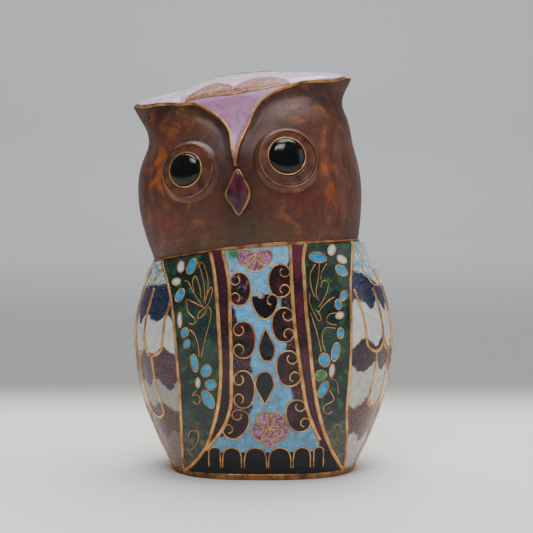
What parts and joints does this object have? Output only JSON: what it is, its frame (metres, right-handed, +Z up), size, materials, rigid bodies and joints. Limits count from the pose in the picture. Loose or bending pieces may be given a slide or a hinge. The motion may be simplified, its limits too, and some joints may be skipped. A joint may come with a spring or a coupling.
{
  "type": "owl figurine",
  "caption": "Small standing owl in cloisonne enamel: rounded copper body and separate head, gilt wire cells, raised disc eyes, beak, ear points and folded wings.",
  "frame": {"origin": "centre of the flat underside that the owl stands on", "axes": "+Z up along the owl's height; the breast faces -Y; +X is the owl's left"},
  "size_m": [0.0492, 0.0388, 0.0752],
  "materials": {
    "copper": "bare copper with a dull oxide skin",
    "gilt": "thin worn gilding, satin",
    "face_brown": "translucent brown enamel with orange mottling, glossy",
    "lavender": "opaque lavender enamel, glossy",
    "leaf_orange": "opaque orange-brown speckled enamel",
    "sky_blue": "opaque speckled sky blue enamel",
    "plum": "dark plum enamel, glossy",
    "black": "black enamel, glossy",
    "mauve": "mauve enamel",
    "turquoise": "turquoise enamel",
    "white": "off-white enamel",
    "dark_green": "dark bottle-green enamel",
    "navy": "navy, white and plum banded enamel",
    "brown_plum": "brown and plum banded enamel",
    "iris_brown": "dark brown enamel"
  },
  "bodies": {
    "root": {"back_enamel": "dark_green", "back_flower_wires": "gilt", "base_plate": "copper", "beak_enamel": "plum", "beak_wire": "gilt", "body_shell_back": "copper", "body_shell_front": "copper", "breast_enamel": "sky_blue", "breast_scroll_wires": "gilt", "breast_strap_wires": "gilt", "brow_wires": "gilt", "crown_enamel": "lavender", "crown_wires": "gilt", "eye_boss_left": "copper", "eye_boss_right": "copper", "eye_iris_enamel_left": "iris_brown", "eye_iris_enamel_right": "iris_brown", "eye_pupil_left": "black", "eye_pupil_right": "black", "eye_ring_inner_left": "gilt", "eye_ring_inner_right": "gilt", "eye_ring_outer_left": "gilt", "eye_ring_outer_right": "gilt", "feather_wires_left": "gilt", "feather_wires_right": "gilt", "flank_enamel_left": "dark_green", "flank_enamel_right": "dark_green", "flank_wires_left": "gilt", "flank_wires_right": "gilt", "foot_rim": "gilt", "head_shell_back": "copper", "head_shell_front": "copper", "heart_and_drop_enamel": "black", "heart_and_drop_wires": "gilt", "leaf_enamel": "leaf_orange", "lower_feather_enamel_left": "brown_plum", "lower_feather_enamel_right": "brown_plum", "nape_enamel": "face_brown", "nape_wires": "gilt", "neck_band": "gilt", "petal_enamel_turquoise": "turquoise", "petal_enamel_white": "white", "rosette_enamel": "mauve", "rosette_wires": "gilt", "scroll_enamel": "plum", "shoulder_wires_left": "gilt", "shoulder_wires_right": "gilt", "strap_enamel": "plum", "tail_enamel": "brown_plum", "tail_wires": "gilt", "toe_enamel": "black", "toe_wires": "gilt", "upper_feather_enamel_left": "navy", "upper_feather_enamel_right": "navy", "wing_edge_wires": "gilt"}
  },
  "joints": []
}
